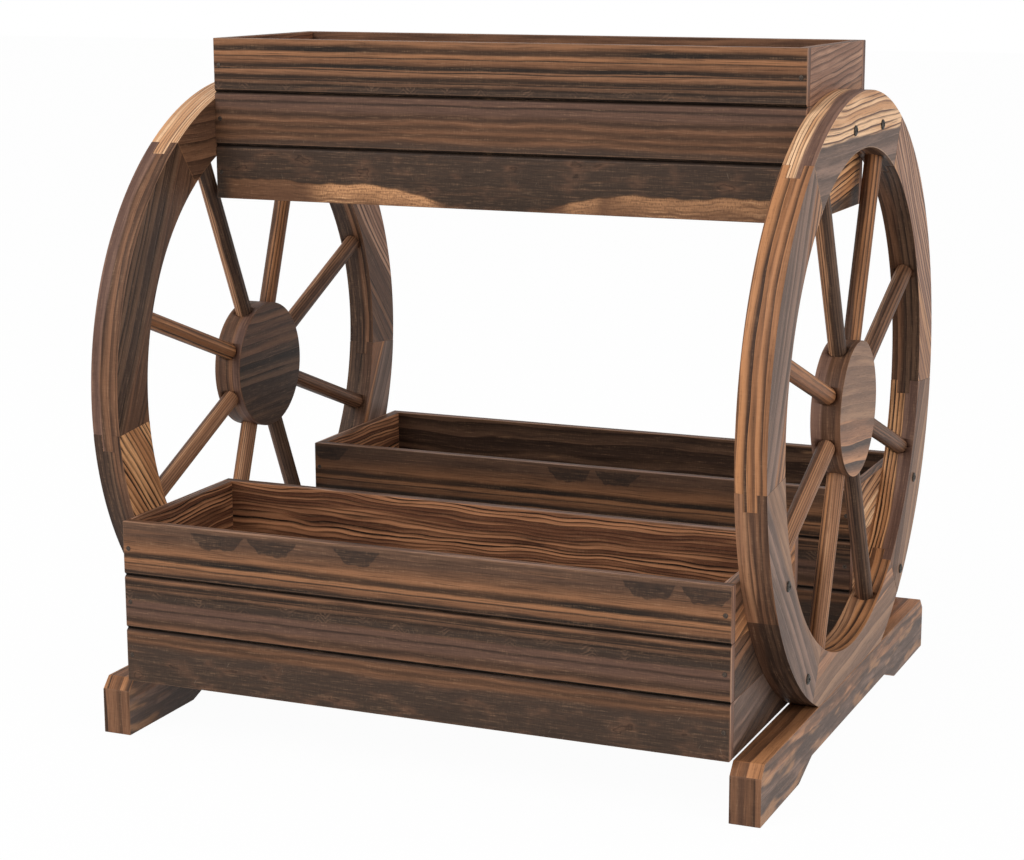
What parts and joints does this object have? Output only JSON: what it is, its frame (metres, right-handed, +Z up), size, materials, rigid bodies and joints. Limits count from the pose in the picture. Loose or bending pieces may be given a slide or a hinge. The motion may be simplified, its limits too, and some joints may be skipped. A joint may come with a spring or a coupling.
{
  "type": "flower cart stand",
  "caption": "Wooden plant stand: open planter boxes on an upper and a lower level, fixed between spoked wagon wheels that are cut flat below and stand on long feet.",
  "frame": {"origin": "on the ground, under the middle of the stand", "axes": "+X along the planter boxes towards the right wheel, +Y from the front box towards the rear box, +Z up"},
  "size_m": [0.5518, 0.4824, 0.5432],
  "materials": {
    "box_board_wood": "charred and brushed softwood under a clear satin stain: dark and orange-brown grain stripes",
    "box_end_wood": "charred and brushed softwood under a clear satin stain: dark and orange-brown grain stripes, a little paler and greyer",
    "box_floor_wood": "charred and brushed softwood under a clear satin stain: dark and orange-brown grain stripes",
    "rim_wood": "charred and brushed softwood under a clear satin stain: dark and orange-brown grain stripes, greyer on the flat faces",
    "hub_wood": "charred and brushed softwood under a clear satin stain: dark and orange-brown grain stripes, dark grey-brown",
    "spoke_wood": "charred and brushed softwood under a clear satin stain: dark and orange-brown grain stripes, streaks along the bar",
    "foot_wood": "charred and brushed softwood under a clear satin stain: dark and orange-brown grain stripes",
    "screw_steel": "dark coated steel, satin",
    "nail_steel": "dull dark steel"
  },
  "bodies": {
    "root": {"board_nails": "nail_steel", "foot_screws": "screw_steel", "front_box_floor": "box_floor_wood", "front_box_front_board_1": "box_board_wood", "front_box_front_board_2": "box_board_wood", "front_box_front_board_3": "box_board_wood", "front_box_left_end_1": "box_end_wood", "front_box_left_end_2": "box_end_wood", "front_box_left_end_3": "box_end_wood", "front_box_rear_board_1": "box_board_wood", "front_box_rear_board_2": "box_board_wood", "front_box_rear_board_3": "box_board_wood", "front_box_right_end_1": "box_end_wood", "front_box_right_end_2": "box_end_wood", "front_box_right_end_3": "box_end_wood", "left_foot": "foot_wood", "left_wheel_hub": "hub_wood", "left_wheel_rim_bottom": "rim_wood", "left_wheel_rim_lower_front": "rim_wood", "left_wheel_rim_lower_rear": "rim_wood", "left_wheel_rim_top": "rim_wood", "left_wheel_rim_upper_front": "rim_wood", "left_wheel_rim_upper_rear": "rim_wood", "left_wheel_spokes": "spoke_wood", "rear_box_floor": "box_floor_wood", "rear_box_front_board_1": "box_board_wood", "rear_box_front_board_2": "box_board_wood", "rear_box_front_board_3": "box_board_wood", "rear_box_left_end_1": "box_end_wood", "rear_box_left_end_2": "box_end_wood", "rear_box_left_end_3": "box_end_wood", "rear_box_rear_board_1": "box_board_wood", "rear_box_rear_board_2": "box_board_wood", "rear_box_rear_board_3": "box_board_wood", "rear_box_right_end_1": "box_end_wood", "rear_box_right_end_2": "box_end_wood", "rear_box_right_end_3": "box_end_wood", "right_foot": "foot_wood", "right_wheel_hub": "hub_wood", "right_wheel_rim_bottom": "rim_wood", "right_wheel_rim_lower_front": "rim_wood", "right_wheel_rim_lower_rear": "rim_wood", "right_wheel_rim_top": "rim_wood", "right_wheel_rim_upper_front": "rim_wood", "right_wheel_rim_upper_rear": "rim_wood", "right_wheel_spokes": "spoke_wood", "upper_box_floor": "box_floor_wood", "upper_box_front_board_1": "box_board_wood", "upper_box_front_board_2": "box_board_wood", "upper_box_front_board_3": "box_board_wood", "upper_box_left_end_1": "box_end_wood", "upper_box_left_end_2": "box_end_wood", "upper_box_left_end_3": "box_end_wood", "upper_box_rear_board_1": "box_board_wood", "upper_box_rear_board_2": "box_board_wood", "upper_box_rear_board_3": "box_board_wood", "upper_box_right_end_1": "box_end_wood", "upper_box_right_end_2": "box_end_wood", "upper_box_right_end_3": "box_end_wood", "wheel_screws": "screw_steel"}
  },
  "joints": []
}
